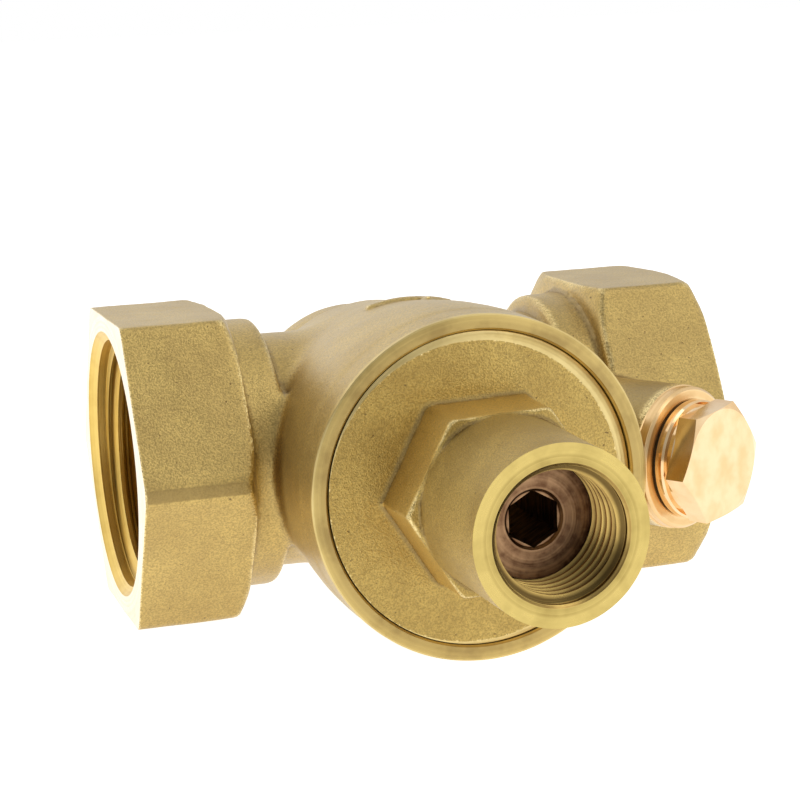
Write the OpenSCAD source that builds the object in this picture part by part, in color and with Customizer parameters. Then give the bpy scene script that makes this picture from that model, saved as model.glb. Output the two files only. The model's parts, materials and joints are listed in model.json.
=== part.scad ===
// Threaded brass pressure reducing valve with a spring bonnet, an adjusting screw and a gauge port.
// The frame starts at the centre of the inlet mouth: +X runs along the pipe to the outlet,
// -Y runs out through the bonnet nose, and +Z is up. All sizes are in millimetres.

/* [Pipe ends] */
// Distance from the inlet mouth to the bonnet axis
inlet_reach = 39.5; // [39:0.5:42]
// Distance from the bonnet axis to the outlet mouth
outlet_reach = 41.1; // [41:0.1:44]
// Width across the flats of both pipe-end hexagons
pipe_hex_af = 40; // [39:0.5:42]
// Length of the inlet hexagon
inlet_hex_l = 15; // [13:0.5:16]
// Length of the outlet hexagon
outlet_hex_l = 15.6; // [14:0.1:16]
// Minor diameter of the internal pipe threads
pipe_thread_d = 30.3; // [29.5:0.1:30.5]
// Length of the internal pipe threads
pipe_thread_l = 17; // [15:0.5:17]
// Diameter of the water ports behind the threads
port_d = 25; // [22:0.5:25]
// Diameter of the rounded collars behind the hexagons
collar_d = 36.4; // [35:0.2:38]
// Diameter of the necks between the collars and the housing
neck_d = 31.8; // [31:0.2:33]

/* [Housing] */
// Outer diameter of the rim that holds the bonnet
rim_d = 43.8; // [43.8:0.1:46]
// Distance from the pipe axis to the rim face
rim_u = 37.1; // [37:0.1:38]
// Distance from the pipe axis to the back of the housing
back_u = 24; // [24:0.5:26]
// Diameter of the cylinder at the back of the housing
back_d = 33; // [32:0.5:33]

/* [Bonnet] */
// Diameter of the bonnet disc
disc_d = 39.52; // [39:0.02:39.6]
// Diameter of the threaded skirt below the disc
skirt_d = 36; // [35:0.5:36]
// Width across the flats of the wrench hexagon
bonnet_hex_af = 22.2; // [21:0.1:23]
// Height of the wrench hexagon above the disc
bonnet_hex_h = 8.7; // [7:0.1:10]
// Distance from the pipe axis to the end of the nose
nose_u = 63.7; // [62:0.1:66]
// Outer diameter of the nose at its root
nose_root_d = 21.9; // [21.5:0.1:22.2]
// Outer diameter of the nose at its end
nose_end_d = 21.4; // [21:0.1:22]
// Minor diameter of the thread in the nose
nose_thread_d = 14.38; // [14.3:0.02:14.5]
// Major diameter of the thread in the nose
nose_major_d = 16; // [15.6:0.1:16.4]

/* [Adjuster and spring] */
// Distance from the pipe axis to the outer face of the adjusting screw
screw_u = 54.8; // [54:0.1:56]
// Width across the flats of the hexagon socket
socket_af = 6; // [5:0.5:8]
// Outer diameter of the main spring
spring_d = 22.6; // [21:0.1:22.8]
// Diameter of the spring wire
spring_wire_d = 2.8; // [2.4:0.1:3]
// Number of turns of the spring
spring_turns = 3.75; // [3.25:0.25:4]

/* [Piston and seat] */
// Diameter of the piston bore
piston_bore_d = 29; // [28.6:0.1:29]
// Diameter of the opening in the seat
seat_d = 18; // [16:0.5:18]
// Travel of the piston from open to closed
piston_stroke = 3; // [2:0.25:3]

/* [Gauge port] */
// Angle of the gauge port from the bonnet axis towards the outlet
gauge_angle = 28.7; // [27:0.1:30]
// Distance from the bonnet axis to where the port axis crosses the pipe axis
gauge_root_x = 12.5; // [12:0.1:13]
// Distance from the pipe axis to the face of the boss, along the port
boss_u = 36.6; // [36:0.1:37]
// Diameter of the boss
boss_d = 18.8; // [18:0.1:19]
// Width across the flats of the plug
plug_af = 14; // [13:0.5:14.5]

/* [Hidden] */
$fn = 72;
ROOT3 = sqrt(3);
outlet_x = inlet_reach + outlet_reach;
hex_corner_r = pipe_hex_af / ROOT3;
parting_cut = 0.57;             // how much the parting strip takes off the front and back corners
corner_cone_l = 1.8;            // length of the cone that trims a hexagon's corners
collar_l = 5.2;                 // length of each collar, its rounded edge included
band_u = 32;                    // start of the straight band behind the rim

// Heights along the bonnet axis, from the pipe axis outwards
well_u = -21;                   // floor of the balance well
chamber_floor_u = -13;          // floor of the inlet chamber
web_low_u = -3.5;               // underside of the web that holds the seat
web_top_u = 2;                  // top of the web
passage_top_u = 10;             // top of the outlet passage
piston_low_u = 10.5;            // underside of the piston when the valve is open
bore_top_u = 23.9;              // top of the piston bore, and start of the bonnet's thread
ledge_u = 33.3;                 // ledge that the bonnet disc sits on
cavity_top_u = 34;              // roof of the spring cavity
plate_low_u = 30;               // underside of the spring plate
plate_t = 2.5;                  // thickness of the spring plate

screw_pitch = 1.5;              // pitch of the adjusting screw's thread
running_gap = 0.05;             // radial clearance of parts that slide or turn
thread_gap = 0.07;              // radial gap between plain cylinders that stand for threads
chamber_r = 13;
well_r = 5.05;
piston_r = piston_bore_d / 2 - running_gap;
cup_r = spring_d / 2 + 0.3;
cup_floor_u = piston_low_u + 2.5;
seat_low_u = -2.2;
seal_top_u = seat_low_u - piston_stroke - 0.05;
seal_t = 2.75;
seal_r = 10.2;
holder_low_u = seal_top_u - seal_t - 3;
stem_r = 4;
stem_tip_r = 3;
o_ring_r = 0.92;
screw_r = nose_thread_d / 2 - running_gap;
gasket_t = 0.3;
flange_r = 7.7;
flange_t = 1.3;
plug_step_h = 1;                // height of the round step under the plug's hexagon
plug_hex_h = 2.8;
bonnet_hex_turn = 2;            // how far the bonnet's hexagon has stopped past square
plug_turn = 8;                  // how far the plug's hexagon is turned from square

// ---- Places ----

// Local +Z runs out along the bonnet axis, and local X stays the pipe's X
module on_bonnet_axis() {
    translate([inlet_reach, 0, 0]) rotate([90, 0, 0]) children();
}

// Local +Z runs along the pipe from the given x, and a hexagon there has flats up and down
module on_pipe_axis(x) {
    translate([x, 0, 0]) rotate([0, 90, 0]) rotate(30) children();
}

// Local +Z runs out along the gauge port
module on_gauge_axis() {
    translate([inlet_reach + gauge_root_x, 0, 0])
        rotate([0, 0, gauge_angle]) rotate([90, 0, 0]) children();
}

// ---- Shapes ----

// Solid of revolution from radius and height pairs
module lathe(points) {
    rotate_extrude() polygon(points);
}

// Plain cylinder between two heights
module shaft(r, low, high) {
    translate([0, 0, low]) cylinder(r = r, h = high - low);
}

// Ring between two radii and two heights
module ring(r_in, r_out, low, high) {
    difference() {
        shaft(r_out, low, high);
        shaft(r_in, low - 1, high + 1);
    }
}

// Hexagonal prism between two heights, given its width across flats
module hex_bar(af, low, high) {
    translate([0, 0, low]) cylinder(r = af / ROOT3, h = high - low, $fn = 6);
}

// O-ring with its centre circle at height u
module o_ring(r, section_r, u) {
    translate([0, 0, u]) rotate_extrude() translate([r, 0]) circle(r = section_r, $fn = 24);
}

// Hexagon with its corners trimmed by a cone at the top, and at the bottom where low_cone is set
module trimmed_hex(af, low, high, cone_l, low_cone = false) {
    corner_r = af / ROOT3;
    flat_r = af / 2 + 0.1;
    foot_r = low_cone ? flat_r : corner_r + 1;
    foot_l = low_cone ? cone_l : 0.01;
    intersection() {
        hex_bar(af, low, high);
        lathe([[0, low], [foot_r, low], [corner_r + 0.1, low + foot_l],
               [corner_r + 0.1, high - cone_l], [flat_r, high], [0, high]]);
    }
}

// ---- Valve body ----

module housing_outside() {
    rim_r = rim_d / 2;
    back_r = back_d / 2;
    lathe([[0, -back_u], [back_r - 4, -back_u], [back_r - 1.1, -back_u + 1.4],
           [back_r, -back_u + 4.5], [back_r, -13], [back_r + 0.8, -11], [18.2, -8],
           [19.2, 0], [20.2, 8], [21, 16], [rim_r + 0.1, 24], [rim_r + 0.1, band_u - 0.2],
           [rim_r, band_u], [rim_r, rim_u - 0.8], [rim_r - 0.8, rim_u], [0, rim_u]]);
}

// Neck and rounded collar that run from the back of a hexagon to the housing
module neck_outside(hex_l, reach) {
    collar_r = collar_d / 2;
    neck_r = neck_d / 2;
    lathe([[0, hex_l - 1], [collar_r, hex_l - 1], [collar_r, hex_l + collar_l - 1.6],
           [collar_r - 0.7, hex_l + collar_l - 0.4], [neck_r, hex_l + collar_l],
           [neck_r, reach], [0, reach]]);
}

module pipe_end(hex_l, reach, mouth_cone) {
    intersection() {
        if (mouth_cone) trimmed_hex(pipe_hex_af, 0, hex_l, corner_cone_l, true);
        else trimmed_hex(pipe_hex_af, 0, hex_l, corner_cone_l);
        rotate(-30) translate([-30, -(hex_corner_r - parting_cut), -1])
            cube([60, 2 * (hex_corner_r - parting_cut), hex_l + 2]);
    }
    neck_outside(hex_l, reach);
}

module body_outside() {
    on_bonnet_axis() housing_outside();
    on_pipe_axis(0) pipe_end(inlet_hex_l, inlet_reach, false);
    translate([outlet_x, 0, 0]) mirror([1, 0, 0])
        on_pipe_axis(0) pipe_end(outlet_hex_l, outlet_reach, true);
    on_gauge_axis() lathe([[0, 12], [boss_d / 2, 12], [boss_d / 2, boss_u - 1.6],
                           [boss_d / 2 - 0.15, boss_u - 1.6], [boss_d / 2 - 0.15, boss_u - 0.3],
                           [boss_d / 2 - 0.45, boss_u], [0, boss_u]]);
}

// Water way from a port into the chamber: a bore a little narrower than the port, between two heights
module passage(x_low, x_high, u_low, u_high) {
    intersection() {
        translate([x_low, 0, 0]) rotate([0, 90, 0]) cylinder(d = port_d - 1, h = x_high - x_low);
        translate([x_low, -u_high, -port_d]) cube([x_high - x_low, u_high - u_low, 2 * port_d]);
    }
}

module body_bores() {
    inlet_port_end = inlet_reach - 18;
    outlet_port_end = inlet_reach + 16.5;
    port_r = port_d / 2;
    on_pipe_axis(0) {
        shaft(pipe_thread_d / 2, -1, pipe_thread_l);
        shaft(port_r, pipe_thread_l - 1, inlet_port_end);
        shaft(port_r, outlet_port_end, outlet_x - pipe_thread_l + 1);
        shaft(pipe_thread_d / 2, outlet_x - pipe_thread_l, outlet_x + 1);
    }
    passage(inlet_port_end - 1, inlet_reach, chamber_floor_u, web_low_u);
    passage(inlet_reach, outlet_port_end + 1, web_top_u + 0.5, passage_top_u);
    on_bonnet_axis() {
        shaft(well_r, well_u, 0);
        shaft(chamber_r, chamber_floor_u, web_low_u);
        shaft(12, web_low_u - 1, web_top_u + 1);
        shaft(13.15, web_top_u - 1.1, web_top_u + 1);
        shaft(piston_bore_d / 2, web_top_u, bore_top_u + 1);
        shaft(skirt_d / 2 + thread_gap, bore_top_u, ledge_u + 1);
        shaft(disc_d / 2 + 0.09, ledge_u, rim_u + 1);
    }
    on_gauge_axis() shaft(5.72, 13, boss_u + 1);
}

module valve_body() {
    color("darkkhaki") difference() {
        body_outside();
        body_bores();
    }
}

// ---- Seat ----

module seat_ring() {
    r = seat_d / 2;
    color("khaki") on_bonnet_axis()
        lathe([[r, seat_low_u], [r + 0.8, seat_low_u], [r + 1.6, seat_low_u + 0.8],
               [11.95, seat_low_u + 0.8], [11.95, web_top_u], [13.6, web_top_u],
               [13.6, web_top_u + 2.2], [r + 1, web_top_u + 2.2], [r, web_top_u + 1.2]]);
}

module seat_o_ring() {
    color("black") on_bonnet_axis() o_ring(12.55, 0.5, web_top_u - 0.5);
}

// ---- Piston and disc ----

module disc_holder() {
    cup_low = holder_low_u;
    seal_low = seal_top_u - seal_t;
    tail_low = cup_low - 9;
    color("khaki") on_bonnet_axis() difference() {
        lathe([[0, tail_low], [4.4, tail_low], [5, tail_low + 0.6], [5, cup_low],
               [10.6, cup_low], [seal_r + 1, cup_low + 0.6], [seal_r + 1, seal_top_u - 0.35],
               [seal_r + 0.05, seal_top_u - 0.35], [seal_r + 0.05, seal_low], [0, seal_low]]);
        shaft(stem_tip_r + 0.02, cup_low - 3, seal_low + 1);
        ring(3.4, 6, tail_low + 1.9, tail_low + 3.7);
    }
}

module balance_o_ring() {
    color("black") on_bonnet_axis() o_ring(4.2, 0.78, holder_low_u - 6.2);
}

module disc_seal() {
    color("dimgray") on_bonnet_axis()
        ring(stem_r + 0.02, seal_r, seal_top_u - seal_t, seal_top_u);
}

module disc_washer() {
    color("silver") on_bonnet_axis() ring(stem_r + 0.1, 7, seal_top_u, seal_top_u + 1);
}

module disc_nut() {
    color("silver") on_bonnet_axis() difference() {
        trimmed_hex(12, seal_top_u + 1, seal_top_u + 4.5, 0.5);
        shaft(stem_r + 0.02, seal_top_u, seal_top_u + 6);
    }
}

module stem() {
    seal_low = seal_top_u - seal_t;
    color("lightgray") on_bonnet_axis()
        lathe([[0, holder_low_u - 2.9], [stem_tip_r, holder_low_u - 2.9], [stem_tip_r, seal_low],
               [stem_r, seal_low], [stem_r, piston_low_u - 2], [5.5, piston_low_u - 2],
               [5.5, piston_low_u], [stem_r, piston_low_u], [stem_r, 19.4], [stem_r - 0.6, 20],
               [0, 20]]);
}

module piston() {
    color("goldenrod") on_bonnet_axis() difference() {
        lathe([[stem_r + 0.05, piston_low_u], [piston_r - 0.5, piston_low_u],
               [piston_r, piston_low_u + 0.5], [piston_r, 20], [piston_r - 0.5, 20.5],
               [cup_r, 20.5], [cup_r, cup_floor_u], [stem_r + 0.05, cup_floor_u]]);
        ring(12.6, 16, 12.7, 14.9);
        ring(13.3, 16, 16.6, 19);
    }
}

module piston_o_ring() {
    color("black") on_bonnet_axis() o_ring(12.6 + o_ring_r, o_ring_r, 13.8);
}

module piston_guide_ring() {
    color("white") on_bonnet_axis() ring(13.35, piston_r + 0.02, 16.65, 18.95);
}

module stem_washer() {
    color("silver") on_bonnet_axis() ring(stem_r + 0.1, 7.6, cup_floor_u, cup_floor_u + 1);
}

module stem_nut() {
    color("silver") on_bonnet_axis() difference() {
        trimmed_hex(12, cup_floor_u + 1, cup_floor_u + 5.5, 0.5);
        shaft(stem_r + 0.02, cup_floor_u, cup_floor_u + 7);
    }
}

// ---- Spring and adjuster ----

// Height of the wire's centre at a share of the spring's length: the end turns lie closer
function spring_rise(t) = t - 0.09 * sin(360 * t);

// The wire as one swept tube, its ends ground flat by the slab between piston and plate
module main_spring() {
    low = cup_floor_u;
    high = plate_low_u;
    coil_r = (spring_d - spring_wire_d) / 2;
    wire_r = spring_wire_d / 2;
    steps = 24 * spring_turns;
    sides = 10;
    wire_low = low + 0.5 * wire_r;
    wire_high = high - 0.5 * wire_r;
    points = [for (i = [0 : steps], k = [0 : sides - 1])
        let (a = 360 * spring_turns * i / steps,
             b = 360 * k / sides,
             r = coil_r + wire_r * cos(b),
             u = wire_low + (wire_high - wire_low) * spring_rise(i / steps) + wire_r * sin(b))
        [r * cos(a), r * sin(a), u]];
    walls = [for (i = [0 : steps - 1], k = [0 : sides - 1])
        [i * sides + k, (i + 1) * sides + k,
         (i + 1) * sides + (k + 1) % sides, i * sides + (k + 1) % sides]];
    caps = [[for (k = [0 : sides - 1]) k], [for (k = [sides - 1 : -1 : 0]) steps * sides + k]];
    color("silver") on_bonnet_axis() intersection() {
        polyhedron(points, concat(walls, caps));
        shaft(spring_d, low, high);
    }
}

module spring_plate() {
    top = plate_low_u + plate_t;
    color("goldenrod") on_bonnet_axis()
        lathe([[2, plate_low_u - 1.5], [7.6, plate_low_u - 1.5], [8.1, plate_low_u - 1],
               [8.1, plate_low_u], [12.5, plate_low_u], [13, plate_low_u + 0.5],
               [13, top - 0.5], [12.5, top], [2, top]]);
}

module adjusting_screw() {
    low = plate_low_u + plate_t;
    socket_corner_r = socket_af / ROOT3;
    color("peru") on_bonnet_axis() difference() {
        lathe([[0, low], [screw_r - 1, low], [screw_r, low + 1],
               [screw_r, screw_u - 0.5], [screw_r - 0.5, screw_u], [0, screw_u]]);
        rotate(30) hex_bar(socket_af, low - 1, screw_u + 1);
        lathe([[0, screw_u - 0.6], [socket_corner_r, screw_u - 0.6],
               [socket_corner_r + 0.6, screw_u + 0.01], [0, screw_u + 0.01]]);
    }
}

// ---- Bonnet ----

// One groove of the nose thread is cut in front of the screw, so the free bore is a wall of its own
module bonnet() {
    nose_low_u = rim_u + bonnet_hex_h;
    running_r = nose_thread_d / 2 + 0.05;
    free_u = screw_u + 0.1;
    color("darkkhaki") on_bonnet_axis() difference() {
        union() {
            lathe([[0, bore_top_u + 0.1], [skirt_d / 2 - 1, bore_top_u + 0.1],
                   [skirt_d / 2, bore_top_u + 1.1], [skirt_d / 2, ledge_u], [disc_d / 2, ledge_u],
                   [disc_d / 2, rim_u - 0.6], [disc_d / 2 - 0.6, rim_u], [0, rim_u]]);
            rotate(bonnet_hex_turn) trimmed_hex(bonnet_hex_af, rim_u - 1, nose_low_u, 0.7);
            lathe([[0, rim_u], [nose_root_d / 2, rim_u], [nose_root_d / 2, nose_low_u],
                   [nose_end_d / 2, nose_u], [0, nose_u]]);
        }
        shaft(13.6, bore_top_u - 1, cavity_top_u);
        shaft(running_r, cavity_top_u - 1, free_u);
        shaft(nose_thread_d / 2, free_u - 1, nose_u + 1);
        shaft(nose_major_d / 2, free_u - screw_pitch + 0.1, free_u);
        ring(16.7, 20, 30.8, 32.4);
    }
}

module bonnet_o_ring() {
    color("black") on_bonnet_axis() o_ring(17.38, 0.65, 31.6);
}

// ---- Gauge port ----

module gauge_plug() {
    flange_u = boss_u + gasket_t;
    step_u = flange_u + flange_t;
    hex_u = step_u + plug_step_h;
    top_u = hex_u + plug_hex_h;
    step_r = plug_af / 2 + 0.15;
    color("burlywood") on_gauge_axis() {
        lathe([[0, flange_u - 9], [5, flange_u - 9], [5.65, flange_u - 8.3],
               [5.65, flange_u], [flange_r, flange_u], [flange_r, step_u],
               [step_r, step_u], [step_r, hex_u], [0, hex_u]]);
        rotate(plug_turn) trimmed_hex(plug_af, hex_u - 0.2, top_u, 0.6);
    }
}

module plug_gasket() {
    color("dimgray") on_gauge_axis() ring(5.75, 7.3, boss_u, boss_u + gasket_t);
}

valve_body();
seat_ring();
seat_o_ring();
disc_holder();
balance_o_ring();
disc_seal();
disc_washer();
disc_nut();
stem();
piston();
piston_o_ring();
piston_guide_ring();
stem_washer();
stem_nut();
main_spring();
spring_plate();
adjusting_screw();
bonnet();
bonnet_o_ring();
gauge_plug();
plug_gasket();
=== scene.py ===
import json
import math

import bmesh
import bpy
from mathutils import Matrix, Vector


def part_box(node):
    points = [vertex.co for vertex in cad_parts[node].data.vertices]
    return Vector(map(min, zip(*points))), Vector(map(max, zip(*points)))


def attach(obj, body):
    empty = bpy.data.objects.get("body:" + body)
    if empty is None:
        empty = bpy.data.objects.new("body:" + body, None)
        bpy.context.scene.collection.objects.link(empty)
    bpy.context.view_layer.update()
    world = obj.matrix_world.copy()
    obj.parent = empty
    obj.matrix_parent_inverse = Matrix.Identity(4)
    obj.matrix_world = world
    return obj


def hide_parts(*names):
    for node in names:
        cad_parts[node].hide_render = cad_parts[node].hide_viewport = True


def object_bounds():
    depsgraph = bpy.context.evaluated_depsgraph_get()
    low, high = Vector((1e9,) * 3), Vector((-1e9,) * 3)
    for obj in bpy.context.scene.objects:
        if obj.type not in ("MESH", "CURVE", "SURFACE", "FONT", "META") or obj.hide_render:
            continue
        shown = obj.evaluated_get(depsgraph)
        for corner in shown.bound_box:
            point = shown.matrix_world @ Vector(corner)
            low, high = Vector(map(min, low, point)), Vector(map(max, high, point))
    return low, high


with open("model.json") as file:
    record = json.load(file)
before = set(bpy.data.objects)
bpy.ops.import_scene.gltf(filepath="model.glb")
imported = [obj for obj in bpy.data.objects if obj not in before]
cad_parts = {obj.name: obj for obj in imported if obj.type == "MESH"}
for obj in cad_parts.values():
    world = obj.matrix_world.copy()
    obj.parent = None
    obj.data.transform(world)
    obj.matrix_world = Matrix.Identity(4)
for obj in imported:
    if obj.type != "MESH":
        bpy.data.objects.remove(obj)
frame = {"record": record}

cad_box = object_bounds()
MM = 0.001


# ---- Sizes, in millimetres, from the frame ----

def span(node, axis):
    """Lowest and highest place of a node along an axis, in millimetres."""
    low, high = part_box(node)
    return low[axis] / MM, high[axis] / MM


X, Y = 0, 1
INLET_X, OUTLET_X = span("valve_body", X)
BONNET_X = sum(span("bonnet", X)) / 2
RIM_U = -span("valve_body", Y)[0]
BACK_U = span("valve_body", Y)[1]
DISC_R = (span("bonnet", X)[1] - span("bonnet", X)[0]) / 2
NOSE_U = -span("bonnet", Y)[0]
SCREW_U = -span("adjusting_screw", Y)[0]
SCREW_LOW_U = -span("adjusting_screw", Y)[1]

# ---- Sizes of the details. R is a radius, L a length, T a thickness and U a height on an axis ----

PIPE_HEX_AF = 40               # widths across flats end in AF
INLET_HEX_L = 15
OUTLET_HEX_L = 15.6
PARTING_R = 22.5               # reach of the hexagons' front and back corners
COLLAR_R = 18.2
NECK_R = 15.9
PORT_R = 12.5
MOUTH_R = 17.9
RELIEF_R = 16.7                # turned relief between a mouth and its thread
MOUTH_Y = 0.7                  # how far off centre the inlet was turned
PIPE_THREAD = {"minor": 15.15, "major": 16.6, "pitch": 2.309, "length": 17}

BARREL_R = 19.2                # housing radius level with the pipe axis
BARREL_TAPER = 0.118           # growth of that radius per millimetre towards the rim
BARREL_MAX_R = 22
RIM_R = 21.9
BACK_R = 16.5
BAND_U = 32                    # where the turned band behind the rim begins
WELL_R = 5.05                  # balance well in the back
CHAMBER_R = 13
WEB_BORE_R = 12                # opening for the seat ring
SEAT_RECESS_R = 13.15
PISTON_BORE_R = 14.5
BONNET_BORE_R = 18.07
RECESS_U = 33.3                # floor of the recess that the bonnet's disc sits in
DISC_GAP = 0.14

BONNET_HEX_AF = 22.2
BONNET_HEX_U = 45.8
BONNET_HEX_TURN = math.radians(2)
BONNET_VOXEL = 0.3
NOSE_ROOT_R = 10.95
NOSE_END_R = 10.7
NOSE_MOUTH_R = 8.4
SPRING_CAVITY_R = 13.6
SKIRT_R = 18
SKIRT_GROOVE_R = 16.7
NOSE_THREAD = {"minor": 7.19, "major": 8.05, "pitch": 1.5}
NOSE_THREAD_U = 33             # where the first turn of the nose's thread begins
EDGE_SHIFT = 0.8               # how far off centre the bonnet's edge was trimmed

SCREW_THREAD = {"minor": 7.12, "major": 7.93, "pitch": 1.5}
SCREW_R = SCREW_THREAD["minor"]
SCREW_CREST_R = SCREW_THREAD["major"]
SOCKET_AF = 6

GAUGE_ANGLE = math.radians(28.7)
GAUGE_ROOT_X = BONNET_X + 12.5
GAUGE_HOLE_R = 5.72
BOSS_R = 9.4
BOSS_U = 36.6
BOSS_BAND_T = 1.65             # length of the turned end of the boss
FLANGE_U = 36.9
FLANGE_T = 1.3
FLANGE_R = 7.7
STEP_T = 1.0                   # round step under the plug's hexagon
PLUG_AF = 14
PLUG_TOP_U = 42
PLUG_TURN = math.radians(8)
PLUG_SHANK_R = 5.6
BODY_VOXEL = 0.5
LATHE_STEPS = 128
THREAD_OVERLAP = 0.35          # how far a thread's ridge starts below its minor radius


# ---- Node trees ----

class Sock:
    """A socket whose operators add Math nodes to its tree."""

    def __init__(self, tree, socket):
        self.tree, self.socket = tree, socket

    def math(self, operation, *others):
        values = dict(enumerate((self, *others)))
        return self.tree.node("ShaderNodeMath", {"operation": operation}, values)

    def __add__(self, other):
        return self.math("ADD", other)

    __radd__ = __add__

    def __mul__(self, other):
        return self.math("MULTIPLY", other)

    def __sub__(self, other):
        return self.math("SUBTRACT", other)

    def __rsub__(self, other):
        return self.tree.node("ShaderNodeMath", {"operation": "SUBTRACT"}, {0: other, 1: self})

    def __truediv__(self, other):
        return self.math("DIVIDE", other)

    def __neg__(self):
        return self * -1

    def __abs__(self):
        return self.math("ABSOLUTE")

    def larger(self, other, blend=0):
        return self.math("SMOOTH_MAX", other, blend)

    def smaller(self, other, blend=0):
        return self.math("SMOOTH_MIN", other, blend)

    def clipped(self):
        return self.tree.node("ShaderNodeClamp", {}, {0: self})

    def root(self):
        return self.math("SQRT")

    def mix(self, low, high):
        """A colour between low, where this is 0, and high, where it is 1."""
        return self.tree.node("ShaderNodeMix", {"data_type": "RGBA"}, {0: self, 6: low, 7: high}, 2)

    def step(self, low, high):
        """0 below low and 1 above high, with a soft change between."""
        return self.tree.node("ShaderNodeMapRange", {"interpolation_type": "SMOOTHSTEP"},
                              {"Value": self, "From Min": low, "From Max": high})


class Tree:
    """A shader or geometry tree, with one method that adds a node."""

    def __init__(self, tree):
        self.tree = tree

    def node(self, kind, settings=None, values=None, out=0):
        made = self.tree.nodes.new(kind)
        for name, setting in (settings or {}).items():
            setattr(made, name, setting)
        for key, value in (values or {}).items():
            if isinstance(value, Sock):
                self.tree.links.new(value.socket, made.inputs[key])
            elif isinstance(value, tuple) and len(value) == 3 and made.inputs[key].type == "RGBA":
                made.inputs[key].default_value = (*value, 1)
            else:
                made.inputs[key].default_value = value
        return Sock(self, made.outputs[out])

    def split(self, vector):
        """The x, y and z of a vector."""
        parts = self.node("ShaderNodeSeparateXYZ", {}, {0: vector}).socket.node.outputs
        return [Sock(self, part) for part in parts]


def fresh(name, mesh):
    """A new object with this mesh, at the origin."""
    piece = bpy.data.objects.new(name, mesh)
    bpy.context.scene.collection.objects.link(piece)
    return piece


def settle(piece):
    """Turns a piece's modifiers into plain mesh."""
    graph = bpy.context.evaluated_depsgraph_get()
    mesh = bpy.data.meshes.new_from_object(piece.evaluated_get(graph))
    piece.modifiers.clear()
    piece.data = mesh
    return piece


def made_by_nodes(name, sizes, recipe, finish):
    """A mesh made by a geometry tree.

    The sizes become the tree's named inputs, and recipe returns its shape.
    """
    group = bpy.data.node_groups.new(name + " maker", "GeometryNodeTree")
    group.interface.new_socket("Geometry", in_out="OUTPUT", socket_type="NodeSocketGeometry")
    for label in sizes:
        group.interface.new_socket(label, in_out="INPUT", socket_type="NodeSocketFloat")
    tree = Tree(group)
    source = group.nodes.new("NodeGroupInput")
    inputs = {label: Sock(tree, source.outputs[label]) for label in sizes}
    shape = recipe(tree, inputs)
    whole = tree.node("GeometryNodeRealizeInstances", {}, {0: shape})
    done = tree.node("GeometryNodeSetMaterial", {}, {"Geometry": whole, "Material": FINISHES[finish]})
    sink = group.nodes.new("NodeGroupOutput")
    group.links.new(done.socket, sink.inputs[0])
    piece = fresh(name, bpy.data.meshes.new(name))
    modifier = piece.modifiers.new("Maker", "NODES")
    modifier.node_group = group
    for item in group.interface.items_tree:
        if item.in_out == "INPUT":
            modifier[item.identifier] = float(sizes[item.name])
    return settle(piece)


# ---- Mesh tools ----

def at_bonnet():
    """Local Z runs out along the bonnet axis, in millimetres from the pipe axis."""
    return Matrix.Translation((BONNET_X, 0, 0)) @ Matrix.Rotation(math.pi / 2, 4, "X")


def at_pipe(x, way=1):
    """Local Z runs along the pipe from x, forwards from the inlet or backwards from the outlet."""
    centre = (x, MOUTH_Y if way > 0 else 0, 0)
    return Matrix.Translation(centre) @ Matrix.Rotation(way * math.pi / 2, 4, "Y")


def at_gauge():
    """Local Z runs out along the gauge port."""
    return (Matrix.Translation((GAUGE_ROOT_X, 0, 0)) @ Matrix.Rotation(GAUGE_ANGLE, 4, "Z")
            @ Matrix.Rotation(math.pi / 2, 4, "X"))


def along_gauge(x, y):
    """How far out along the gauge port a place lies, and how far to its side."""
    ahead = x - GAUGE_ROOT_X
    out = ahead * math.sin(GAUGE_ANGLE) - y * math.cos(GAUGE_ANGLE)
    side = ahead * math.cos(GAUGE_ANGLE) + y * math.sin(GAUGE_ANGLE)
    return out, side


def finish_mesh(bm, name, place):
    """A new piece from a bmesh in millimetres, put in place and turned right side out."""
    bmesh.ops.transform(bm, matrix=Matrix.Scale(MM, 4) @ place, verts=bm.verts)
    bmesh.ops.recalc_face_normals(bm, faces=bm.faces)
    mesh = bpy.data.meshes.new(name)
    bm.to_mesh(mesh)
    bm.free()
    return fresh(name, mesh)


def lathe(name, profile, place):
    """A solid of revolution about local Z from (radius, height) points that start and end on the axis."""
    bm = bmesh.new()
    turns = [2 * math.pi * k / LATHE_STEPS for k in range(LATHE_STEPS)]
    rings = []
    for r, u in profile:
        if r == 0:
            rings.append([bm.verts.new((0, 0, u))])
            continue
        rings.append([bm.verts.new((r * math.cos(t), r * math.sin(t), u)) for t in turns])
    for low, high in zip(rings, rings[1:]):
        for k in range(LATHE_STEPS):
            n = (k + 1) % LATHE_STEPS
            corners = [low[k % len(low)], low[n % len(low)], high[n % len(high)], high[k % len(high)]]
            bm.faces.new(list(dict.fromkeys(corners)))
    return finish_mesh(bm, name, place)


def prism(name, outline, low, high, place):
    """A straight bar along local Z from an outline of (x, y) points."""
    bm = bmesh.new()
    ends = [[bm.verts.new((x, y, u)) for x, y in outline] for u in (low, high)]
    count = len(outline)
    for k in range(count):
        n = (k + 1) % count
        bm.faces.new((ends[0][k], ends[0][n], ends[1][n], ends[1][k]))
    bm.faces.new(ends[0])
    bm.faces.new(ends[1])
    return finish_mesh(bm, name, place)


def hexagon(af, turn):
    """Corners of a hexagon of that width across flats, the first one on local X when turn is 0."""
    turns = [turn + k * math.pi / 3 for k in range(6)]
    return [(af / math.sqrt(3) * math.cos(t), af / math.sqrt(3) * math.sin(t)) for t in turns]


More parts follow.
